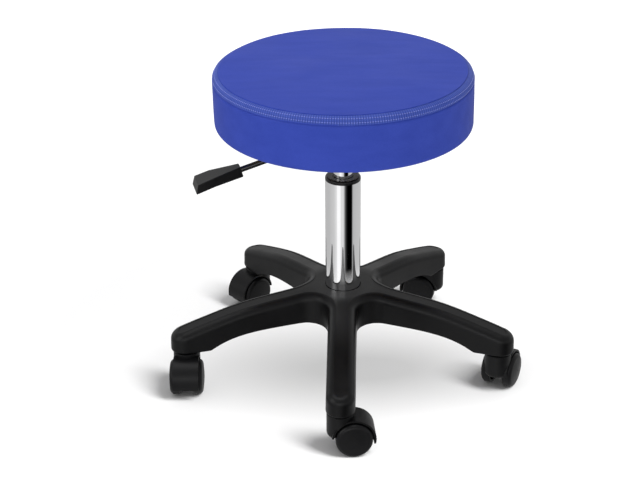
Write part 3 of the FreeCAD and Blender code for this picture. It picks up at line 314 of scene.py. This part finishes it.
grain_group, group_in, group_out = effect_group(
    "moulded_grain",
    inputs=(("Grain Scale", 1500.0), ("Flow Scale", 18.0), ("Flow Share", 0.35)),
    outputs=("Height",),
)
fine = noise_node(grain_group, group_in.outputs["Grain Scale"], detail=3.0, roughness=0.6)
flow = noise_node(grain_group, group_in.outputs["Flow Scale"], detail=2.0)
flow = math_node(grain_group, "MULTIPLY", flow, group_in.outputs["Flow Share"])
grain_group.links.new(math_node(grain_group, "ADD", fine, flow), group_out.inputs["Height"])

dull_group, group_in, group_out = effect_group(
    "uneven_dulling", inputs=(("Patch Scale", 22.0),), outputs=("Patches",)
)
patch = noise_node(dull_group, group_in.outputs["Patch Scale"], detail=5.0, roughness=0.62)
dull_group.links.new(between(dull_group, patch, 0.36, 0.66), group_out.inputs["Patches"])


def placed_group(tree, group, **values):
    """The group in a material, with its own values by socket name."""
    node = tree.nodes.new("ShaderNodeGroup")
    node.node_tree = group
    for name, value in values.items():
        node.inputs[name.replace("_", " ")].default_value = value
    return node


def bumped(tree, shader, height, strength, distance):
    """Raises the surface's grain from a height socket, over a distance in metres."""
    bump = tree.nodes.new("ShaderNodeBump")
    bump.inputs["Strength"].default_value = strength
    bump.inputs["Distance"].default_value = distance
    tree.links.new(height, bump.inputs["Height"])
    tree.links.new(bump.outputs["Normal"], shader.inputs["Normal"])


def finish(material, *names):
    """Gives CAD nodes their finish."""
    for name in names:
        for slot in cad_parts[name].material_slots:
            slot.material = material


def dulled(tree, shader, rough, **values):
    """Roughness that wanders between two levels in soft patches. Returns the patches."""
    patches = placed_group(tree, dull_group, **values).outputs["Patches"]
    tree.links.new(between(tree, patches, 0.0, 1.0, *rough), shader.inputs["Roughness"])
    return patches


def moulded_plastic(name, dark, light, rough, shine=0.2, grain=1500.0, deep=0.00012):
    """Injection-moulded plastic: two close tones in soft patches, fine grain and faint flow."""
    material, tree, shader = new_material(name)
    patches = dulled(tree, shader, rough)
    tree.links.new(colour_between(tree, patches, dark, light), shader.inputs["Base Color"])
    shader.inputs["Specular IOR Level"].default_value = shine
    texture = placed_group(tree, grain_group, Grain_Scale=grain)
    bumped(tree, shader, texture.outputs["Height"], strength=0.35, distance=deep)
    return material


# ---- five-arm base ----
# One moulding in glass-filled black nylon, with the mould's fine satin grain. The steel ring
# pressed round its boss underneath is zinc plated.
base_nylon = moulded_plastic(
    "base_nylon", dark=(0.0024, 0.0024, 0.0027), light=(0.0036, 0.0036, 0.0040),
    rough=(0.34, 0.44), shine=0.155,
)
finish(base_nylon, "star_base")


def plated_steel(name, colour, rough):
    """Turned or drawn steel: fine streaks round the piece and slightly uneven gloss."""
    material, tree, shader = new_material(name)
    shader.inputs["Metallic"].default_value = 1.0
    streaks = noise_node(tree, 160.0, detail=3.0, stretch=(1.0, 1.0, 14.0))
    darker = tuple(0.86 * part for part in colour)
    shade = colour_between(tree, between(tree, streaks, 0.3, 0.7), darker, colour)
    tree.links.new(shade, shader.inputs["Base Color"])
    dulled(tree, shader, rough, Patch_Scale=60.0)
    bumped(tree, shader, streaks, strength=0.12, distance=0.00004)
    return material


zinc_plate = plated_steel("zinc_plate", (0.62, 0.63, 0.65), rough=(0.26, 0.40))
finish(zinc_plate, "hub_ring")


# ---- column and gas lift ----
# The outer tube and the gas tube are hard-chromed steel: mirror bright, with the faintest
# polishing marks. The bush whose collar closes the column's top is black acetal.
chrome_plate, tree, shader = new_material("chrome_plate")
shader.inputs["Metallic"].default_value = 1.0
patches = dulled(tree, shader, (0.020, 0.050), Patch_Scale=14.0)
shade = colour_between(tree, patches, (0.90, 0.90, 0.91), (0.94, 0.94, 0.945))
tree.links.new(shade, shader.inputs["Base Color"])
bumped(tree, shader, noise_node(tree, 900.0, detail=2.0), strength=0.02, distance=0.00001)
finish(chrome_plate, "column_tube", "pressure_tube")

collar_acetal = moulded_plastic(
    "collar_acetal", dark=(0.006, 0.006, 0.0065), light=(0.009, 0.009, 0.0095), rough=(0.22, 0.32)
)
finish(collar_acetal, "guide_bush")

ground_rod = plated_steel("ground_rod", (0.66, 0.66, 0.67), rough=(0.12, 0.22))
finish(
    ground_rod, "piston_rod", "inner_cylinder", "bearing_balls", "valve_pin",
    "thrust_washer_lower", "thrust_washer_upper",
)
finish(zinc_plate, "retaining_clip")

white_nylon = moulded_plastic(
    "white_nylon", dark=(0.66, 0.64, 0.58), light=(0.74, 0.72, 0.66), rough=(0.38, 0.50), shine=0.5
)
finish(white_nylon, "bearing_cage", "piston", "rod_guide", "valve_body")

soft_rubber = moulded_plastic(
    "soft_rubber", dark=(0.014, 0.014, 0.014), light=(0.024, 0.024, 0.024), rough=(0.62, 0.80)
)
finish(soft_rubber, "buffer", "rod_seal")


# ---- mechanism under the seat ----
# Pressed steel plate and channel, powder coated black with a fine orange peel; zinc-plated
# bolts, washers and pin; a turned steel socket.
def powder_coat(name, dark, light, rough, gloss=0.12):
    """Baked paint over metal, with orange peel and a clear skin."""
    material = moulded_plastic(name, dark, light, rough, shine=0.25, grain=620.0, deep=0.00016)
    shader = material.node_tree.nodes["Principled BSDF"]
    shader.inputs["Coat Weight"].default_value = gloss
    shader.inputs["Coat Roughness"].default_value = 0.22
    return material


plate_coat = powder_coat(
    "plate_coat", dark=(0.006, 0.006, 0.0065), light=(0.009, 0.009, 0.0095), rough=(0.36, 0.50)
)
finish(plate_coat, "mounting_plate", "lever_channel", "taper_socket")
finish(
    zinc_plate, "plate_bolts", "plate_washers", "seat_tee_nuts", "lever_pivot_pin", "cover_staples"
)


# ---- lever ----
# A bent steel rod in black gloss enamel, with a faceted paddle grip of black plastic whose
# faces have a slightly silky grain.
rod_enamel = powder_coat(
    "rod_enamel", dark=(0.006, 0.006, 0.006), light=(0.009, 0.009, 0.009),
    rough=(0.24, 0.34), gloss=0.5,
)
finish(rod_enamel, "lever_rod")
grip_plastic = moulded_plastic(
    "grip_plastic", dark=(0.0045, 0.0045, 0.005), light=(0.0065, 0.0065, 0.007),
    rough=(0.34, 0.42), shine=0.17, grain=1100.0,
)
finish(grip_plastic, "lever_grip")


# ---- casters ----
# Hoods and wheels are black nylon; the wheels are a little glossier where they are polished by
# rolling. Stems and axles are bright zinc-plated steel, and split rings hold the stems.
hood_nylon = moulded_plastic(
    "hood_nylon", dark=(0.0035, 0.0035, 0.0039), light=(0.0055, 0.0055, 0.0060),
    rough=(0.36, 0.46), shine=0.14,
)
wheel_nylon = moulded_plastic(
    "wheel_nylon", dark=(0.0030, 0.0030, 0.0034), light=(0.0050, 0.0050, 0.0055),
    rough=(0.34, 0.48), shine=0.14, grain=1900.0,
)
finish(zinc_plate, "caster_grip_rings")
for place in ("front", "front_right", "back_right", "back_left", "front_left"):
    finish(hood_nylon, "hood_" + place)
    finish(wheel_nylon, "wheel_left_" + place, "wheel_right_" + place)
    finish(zinc_plate, "stem_" + place, "axle_" + place)


# ---- seat board ----
# Round birch plywood: pale face veneer with long figure, seen from below inside the cover's
# fold.
birch_ply, tree, shader = new_material("birch_ply")
figure = noise_node(tree, 9.0, detail=6.0, stretch=(1.2, 16.0, 40.0), twist=0.8)
dark_share = between(tree, figure, 0.3, 0.7)
veneer = colour_between(tree, dark_share, (0.36, 0.23, 0.12), (0.58, 0.43, 0.26))
tree.links.new(veneer, shader.inputs["Base Color"])
shader.inputs["Roughness"].default_value = 0.62
bumped(tree, shader, figure, strength=0.25, distance=0.0002)
finish(birch_ply, "seat_board")


# ---- seat cushion ----
# Foam pad in blue vinyl: a flat round top panel and a straight boxing strip, joined by a seam
# that is topstitched on both sides, so it forms a narrow raised band round the top edge.
# Below, the vinyl is drawn in small pleats under the board.
seat_low, seat_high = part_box("seat_cover")
board_low, board_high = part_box("seat_board")
COVER_PROUD = 0.0009
SEAT_R = seat_high.x + COVER_PROUD
SEAT_TOP = seat_high.z
SEAT_FOOT = seat_low.z
AROUND = 640
CORNER_R = 0.0075
SIDE_TUCK = 0.0003
SIDE_GAP = 0.0012
SIDE_STEPS = 18
FOOT_SAG = 0.0008
BAND_IN = 0.0085
BAND_DOWN = 0.0112
BAND_SWELL = 0.0022
FOLD_WIDE = 0.0270
FOLD_INNER_R = board_high.x - FOLD_WIDE
FOLD_EDGE_IN = 0.0004
FOLD_EDGE_UP = 0.0006
FOLD_STEPS = 8
VINYL_THICK = 0.0012
PAD_INSET = 0.0030
PAD_STEPS = 96
PAD_VOXEL = 0.005
PAD_PRESSURE = 4.0
PAD_FRAMES = 20
PAD_CAP = 0.006
RIM_HELD = 0.013
CROWN_SHARE = 0.6
CROWN_FROM = 0.002
CROWN_LEAST_REACH = 0.01
SLOPE_ACROSS = 0.007
SLOPE_FORWARD = 0.006
SLOPE_FROM = 0.002
SLOPE_OVER = 0.020
SHIFT_RIGHT = 0.0006
SKEW = 0.018
SKEW_BELOW_TOP = 0.025
PLEATS = 44
PLEAT_HALF_TURN = 0.045
PLEAT_DEEP = 0.0009
PLEAT_RUN_IN = 0.006
DENTS_FLAT = 14
DENTS_UP = 20
DENT_TOP = 0.0005
DENT_SIDE = 0.0004
NEAR_FACE = 0.0005
STITCH_PITCH = 0.0034
STITCHES = round(2 * math.pi * SEAT_R / STITCH_PITCH)
middle = Vector((0, 0, (SEAT_TOP + SEAT_FOOT) / 2))


def spun(name, profile, steps):
    """Mesh turned round the column's axis from points of (radius, height) in metres."""
    mesh = bmesh.new()
    points = [mesh.verts.new((radius, 0, z)) for radius, z in profile]
    edges = [mesh.edges.new(pair) for pair in zip(points, points[1:])]
    bmesh.ops.spin(
        mesh, geom=points + edges, cent=(0, 0, 0), axis=(0, 0, 1), angle=2 * math.pi,
        steps=steps, use_merge=True,
    )
    bmesh.ops.remove_doubles(mesh, verts=mesh.verts, dist=1e-6)
    bmesh.ops.recalc_face_normals(mesh, faces=mesh.faces)
    data = bpy.data.meshes.new(name)
    mesh.to_mesh(data)
    mesh.free()
    piece = bpy.data.objects.new(name, data)
    scene.collection.objects.link(piece)
    return piece


def arc_points(centre, radius, start, end, count):
    """Points of an arc, with its angles in degrees from the outward direction."""
    turns = [math.radians(start + (end - start) * k / count) for k in range(count + 1)]
    return [(centre[0] + radius * math.cos(t), centre[1] + radius * math.sin(t)) for t in turns]


pad_r = SEAT_R - PAD_INSET
pad_top = SEAT_TOP - PAD_INSET
pad_foot = SEAT_FOOT + PAD_INSET
pad_profile = (
    [(0, pad_top)]
    + arc_points((pad_r - BAND_IN, pad_top - BAND_IN), BAND_IN, 90, 0, 5)
    + arc_points((pad_r - CORNER_R, pad_foot + CORNER_R), CORNER_R, 0, -90, 5)
    + [(0, pad_foot)]
)


def inflated(profile):
    """The pad's shape before and after its cover is drawn tight, as two search trees."""
    pad = spun("pad_start", profile, PAD_STEPS)
    remesh = pad.modifiers.new("remesh", "REMESH")
    remesh.mode = "VOXEL"
    remesh.voxel_size = PAD_VOXEL
    shapes = bpy.context.evaluated_depsgraph_get()
    even = bpy.data.meshes.new_from_object(pad.evaluated_get(shapes))
    pad.modifiers.clear()
    pad.data = even
    start = [vertex.co.copy() for vertex in even.vertices]
    faces = [tuple(face.vertices) for face in even.polygons]
    held = pad.vertex_groups.new(name="board_and_seam")
    held.add([v.index for v in even.vertices if v.co.z < board_high.z], 1.0, "REPLACE")
    rim_r = pad_r - RIM_HELD
    rim_z = pad_top - RIM_HELD
    rim = [
        v.index for v in even.vertices
        if v.co.z > rim_z and math.hypot(v.co.x, v.co.y) > rim_r
    ]
    held.add(rim, 1.0, "REPLACE")
    cloth = pad.modifiers.new("vinyl", "CLOTH")
    cloth.settings.quality = 5
    cloth.settings.use_pressure = True
    cloth.settings.uniform_pressure_force = PAD_PRESSURE
    cloth.settings.vertex_group_mass = held.name
    cloth.settings.effector_weights.gravity = 0.0
    cloth.point_cache.frame_start = 1
    cloth.point_cache.frame_end = PAD_FRAMES
    for step in range(1, PAD_FRAMES + 1):
        scene.frame_set(step)
    shapes = bpy.context.evaluated_depsgraph_get()
    moved = [vertex.co.copy() for vertex in pad.evaluated_get(shapes).data.vertices]
    scene.frame_set(1)
    for k, (before, after) in enumerate(zip(start, moved)):
        way = after - before
        if way.length > PAD_CAP:
            moved[k] = before + way * (PAD_CAP / way.length)
    bpy.data.objects.remove(pad)
    return BVHTree.FromPolygons(start, faces), BVHTree.FromPolygons(moved, faces)


# The cover's outline runs from the top's middle over the band and down to the fold's inner edge.
band_start = (SEAT_R - BAND_IN, SEAT_TOP)
band_end = (SEAT_R, SEAT_TOP - BAND_DOWN)


def band_point(share, raise_by):
    """Point on the band, from 0 at its inner seam to 1 at its lower one, raised square to it."""
    swell = BAND_SWELL * math.sin(math.pi * share) + raise_by
    lean = math.atan2(BAND_DOWN, BAND_IN)
    radius = band_start[0] + (band_end[0] - band_start[0]) * share + swell * math.sin(lean)
    z = band_start[1] + (band_end[1] - band_start[1]) * share + swell * math.cos(lean)
    return (radius, z)


BAND_SHAPE = (  # share of the band, height over its swell in metres
    (0.00, -0.0013), (0.04, -0.0010), (0.09, -0.0002), (0.16, 0.0001), (0.26, 0.0002),
    (0.36, 0.0003), (0.42, 0.0002), (0.45, -0.0001), (0.48, 0.0002), (0.54, 0.0002),
    (0.60, -0.0002), (0.65, -0.0005), (0.70, -0.0002), (0.76, 0.0003), (0.80, 0.0002),
    (0.82, -0.0001), (0.84, 0.0002), (0.90, 0.0003), (0.95, -0.0004), (0.98, -0.0011),
    (1.00, -0.0013),
)
TOP_SHARES = (
    0.0, 0.08, 0.16, 0.24, 0.32, 0.4, 0.48, 0.56, 0.64, 0.72, 0.8, 0.87, 0.92, 0.95, 0.97, 0.985,
    0.993,
)
side_top = SEAT_TOP - BAND_DOWN - SIDE_GAP
side_low = SEAT_FOOT + CORNER_R
foot_r = SEAT_R - SIDE_TUCK - CORNER_R
inside_z = SEAT_FOOT + VINYL_THICK + FOLD_EDGE_UP
top_points = [(band_start[0] * share, SEAT_TOP) for share in TOP_SHARES]
side_points = [
    (SEAT_R - SIDE_TUCK * share ** 1.6, side_top + (side_low - side_top) * share)
    for share in [k / SIDE_STEPS for k in range(SIDE_STEPS + 1)]
]
fold_points = [
    (foot_r + (FOLD_INNER_R - foot_r) * k / FOLD_STEPS, SEAT_FOOT)
    for k in range(1, FOLD_STEPS + 1)
]
cover_profile = (
    top_points
    + [band_point(share, raise_by) for share, raise_by in BAND_SHAPE]
    + side_points
    + arc_points((foot_r, side_low), CORNER_R, 0, -90, 8)[1:]
    + fold_points
    + [(FOLD_INNER_R - FOLD_EDGE_IN, SEAT_FOOT + FOLD_EDGE_UP)]
    + [(FOLD_INNER_R - FOLD_EDGE_IN / 2, inside_z), (0, inside_z)]
)
cover = spun("seat_cushion", cover_profile, AROUND)

slack_tree, tight_tree = inflated(pad_profile)

random.seed(11)
pleat_turns = sorted(2 * math.pi * (k + random.uniform(-0.3, 0.3)) / PLEATS for k in range(PLEATS))


def pleat_depth(turn):
    """0 between pleats and 1 on the crest of one, at an angle round the seat."""
    nearest = min(abs((turn - crest + math.pi) % (2 * math.pi) - math.pi) for crest in pleat_turns)
    return max(0.0, 1 - nearest / PLEAT_HALF_TURN) ** 1.5


for vertex in cover.data.vertices:
    point = vertex.co
    radius = math.hypot(point.x, point.y)
    turn = math.atan2(point.y, point.x)
    away = point - middle
    over_board = point.z > board_low.z + CROWN_FROM
    if slack_tree and over_board and away.length > CROWN_LEAST_REACH:
        way = away.normalized()
        slack_hit = slack_tree.ray_cast(middle, way)[3]
        tight_hit = tight_tree.ray_cast(middle, way)[3]
        if slack_hit and tight_hit:
            vertex.co = point + way * (tight_hit - slack_hit) * CROWN_SHARE
    if point.z < SEAT_FOOT + CORNER_R and radius > FOLD_INNER_R:
        vertex.co.z -= FOOT_SAG * min(1.0, (radius - FOLD_INNER_R) / (foot_r - FOLD_INNER_R))
    if point.z < SEAT_FOOT + NEAR_FACE and radius < foot_r:
        run_in = min(1.0, (foot_r - radius) / PLEAT_RUN_IN)
        vertex.co.z -= PLEAT_DEEP * pleat_depth(turn) * run_in
    soft = noise.noise(Vector((point.x * DENTS_FLAT, point.y * DENTS_FLAT, point.z * DENTS_UP)))
    if point.z > SEAT_TOP - NEAR_FACE:
        vertex.co.z += DENT_TOP * soft
    elif point.z > SEAT_FOOT + CORNER_R:
        vertex.co += Vector((math.cos(turn), math.sin(turn), 0)) * DENT_SIDE * soft
    share = min(1.0, max(0.0, (point.z - SEAT_FOOT - SLOPE_FROM) / SLOPE_OVER))
    vertex.co.z += share * (SLOPE_ACROSS * point.x + SLOPE_FORWARD * point.y)
    vertex.co.x += SHIFT_RIGHT + SKEW * (SEAT_TOP - SKEW_BELOW_TOP - point.z)


PEBBLE_SCALE = 780.0
CREASE_SCALE = 210.0
CREASE_HIGH = 0.8  # these heights are in shares of the pebble's
WRINKLE_HIGH = 4.5
GATHER_HIGH = 2.0


def vinyl(name, deep, pale, gloss, puckers=0):
    """Upholstery vinyl: fine pebble grain with painted shade in its hollows, faint long wrinkles
    with painted shade along them, and, by a seam, puckers painted lighter on their crests and
    darker in their dips.
    """
    material, tree, shader = new_material(name)
    wrinkle = noise_node(tree, 1.0, detail=3.0, stretch=(14.0, 56.0, 56.0))
    # Painted shade: the colour is paler where the wrinkles rise and deeper where they sink.
    shade = colour_between(tree, between(tree, wrinkle, 0.34, 0.66), deep, pale)
    place = object_place(tree)
    pebble = tree.nodes.new("ShaderNodeTexVoronoi")
    pebble.feature = "SMOOTH_F1"
    pebble.inputs["Scale"].default_value = PEBBLE_SCALE
    tree.links.new(place, pebble.inputs["Vector"])
    pebble = pebble.outputs["Distance"]
    # Painted shade: the colour darkens by up to a tenth towards the hollows between the pebbles.
    painted_shading = between(tree, pebble, 0.0, 0.7, 1.0, 0.90)
    crease = noise_node(tree, CREASE_SCALE, detail=3.0)
    height = math_node(tree, "SUBTRACT", math_node(tree, "MULTIPLY", crease, CREASE_HIGH), pebble)
    height = math_node(tree, "ADD", height, math_node(tree, "MULTIPLY", wrinkle, WRINKLE_HIGH))
    if puckers:
        sides = tree.nodes.new("ShaderNodeSeparateXYZ")
        tree.links.new(place, sides.inputs["Vector"])
        turn = math_node(tree, "ARCTAN2", sides.outputs["Y"], sides.outputs["X"])
        gather = math_node(tree, "COSINE", math_node(tree, "MULTIPLY", turn, puckers))
        # Painted light and shade: the colour is lighter on the puckers' crests and darker in their
        # dips.
        painted_shading = math_node(tree, "MULTIPLY", painted_shading, between(tree, gather, -1.0, 1.0, 0.74, 1.12))
        height = math_node(tree, "ADD", height, math_node(tree, "MULTIPLY", gather, GATHER_HIGH))
    shaded = tree.nodes.new("ShaderNodeHueSaturation")
    tree.links.new(painted_shading, shaded.inputs["Value"])
    tree.links.new(shade, shaded.inputs["Color"])
    tree.links.new(shaded.outputs["Color"], shader.inputs["Base Color"])
    dulled(tree, shader, (gloss, gloss + 0.08), Patch_Scale=9.0)
    shader.inputs["Specular IOR Level"].default_value = 0.05
    bumped(tree, shader, height, strength=0.30, distance=0.00012)
    return material


cover_vinyl = vinyl(
    "cover_vinyl", deep=(0.031, 0.056, 0.346), pale=(0.036, 0.063, 0.377), gloss=0.46
)
# Painted highlight: the band is the same vinyl as the cover, made lighter and greyer for the light
# its raised curve catches.
band_vinyl_painted_highlight = vinyl(
    "band_vinyl_painted_highlight", deep=(0.050, 0.082, 0.370), pale=(0.058, 0.094, 0.400), gloss=0.40,
    puckers=STITCHES,
)
cover.data.materials.append(cover_vinyl)
cover.data.materials.append(band_vinyl_painted_highlight)
for face in cover.data.polygons:
    face.use_smooth = True
    radius = math.hypot(face.center.x, face.center.y)
    if radius > band_start[0] and face.center.z > SEAT_TOP - BAND_DOWN:
        face.material_index = 1
cover.data.update()
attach(cover, "seat")
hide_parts("seat_cover", "seat_foam")


# ---- topstitching ----
# Two rows of thick blue thread, one on each side of the seam. Each stitch is a short plump
# thread that dips into the vinyl at both ends.
ROW_SHARES = (0.45, 0.82)
STITCH_LONG = 0.0025
THREAD_R = 0.00042
THREAD_SIDES = 6
THREAD_CUTS = 3
END_TAPER = 0.85
END_LEAST = 0.12
END_DIP = 1.1
THREAD_PROUD = 0.35
surface = BVHTree.FromPolygons(
    [vertex.co for vertex in cover.data.vertices],
    [tuple(face.vertices) for face in cover.data.polygons],
)
one_stitch = bmesh.new()
bmesh.ops.create_cone(
    one_stitch, cap_ends=True, segments=THREAD_SIDES, radius1=THREAD_R, radius2=THREAD_R,
    depth=STITCH_LONG, matrix=Matrix.Rotation(math.pi / 2, 4, "Y"),
)
lengthwise = [
    edge for edge in one_stitch.edges
    if abs(edge.verts[0].co.x - edge.verts[1].co.x) > THREAD_R
]
bmesh.ops.subdivide_edges(one_stitch, edges=lengthwise, cuts=THREAD_CUTS)
for vertex in one_stitch.verts:
    along = vertex.co.x / (STITCH_LONG / 2)
    plump = math.sqrt(max(END_LEAST, 1 - along ** 2 * END_TAPER))
    vertex.co.y *= plump
    vertex.co.z *= plump
    vertex.co.z -= THREAD_R * END_DIP * along ** 2
stitch_data = bpy.data.meshes.new("one_stitch")
one_stitch.to_mesh(stitch_data)
one_stitch.free()

rows = bmesh.new()
for share in ROW_SHARES:
    row_r, row_z = band_point(share, 0)
    for k in range(STITCHES):
        turn = 2 * math.pi * k / STITCHES
        goal = Vector((row_r * math.cos(turn), row_r * math.sin(turn), row_z))
        hit, normal, _, _ = surface.ray_cast(middle + (goal - middle) * 2, middle - goal)
        along = Vector((-math.sin(turn), math.cos(turn), 0))
        across = normal.cross(along).normalized()
        seat_on = Matrix((along, across, normal)).transposed().to_4x4()
        seat_on.translation = hit + normal * THREAD_R * THREAD_PROUD
        before = len(rows.verts)
        rows.from_mesh(stitch_data)
        rows.verts.ensure_lookup_table()
        bmesh.ops.transform(rows, matrix=seat_on, verts=rows.verts[before:])
bmesh.ops.recalc_face_normals(rows, faces=rows.faces)
thread_data = bpy.data.meshes.new("seat_stitches")
rows.to_mesh(thread_data)
rows.free()
stitches = bpy.data.objects.new("seat_stitches", thread_data)
scene.collection.objects.link(stitches)
thread, tree, shader = new_material("blue_thread")
twist = noise_node(tree, 2600.0, detail=2.0)
shade = colour_between(tree, twist, (0.120, 0.160, 0.560), (0.200, 0.240, 0.680))
tree.links.new(shade, shader.inputs["Base Color"])
shader.inputs["Roughness"].default_value = 0.55
shader.inputs["Sheen Weight"].default_value = 0.3
bumped(tree, shader, twist, strength=0.4, distance=0.00008)
thread_data.materials.append(thread)
for face in thread_data.polygons:
    face.use_smooth = True
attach(stitches, "seat")
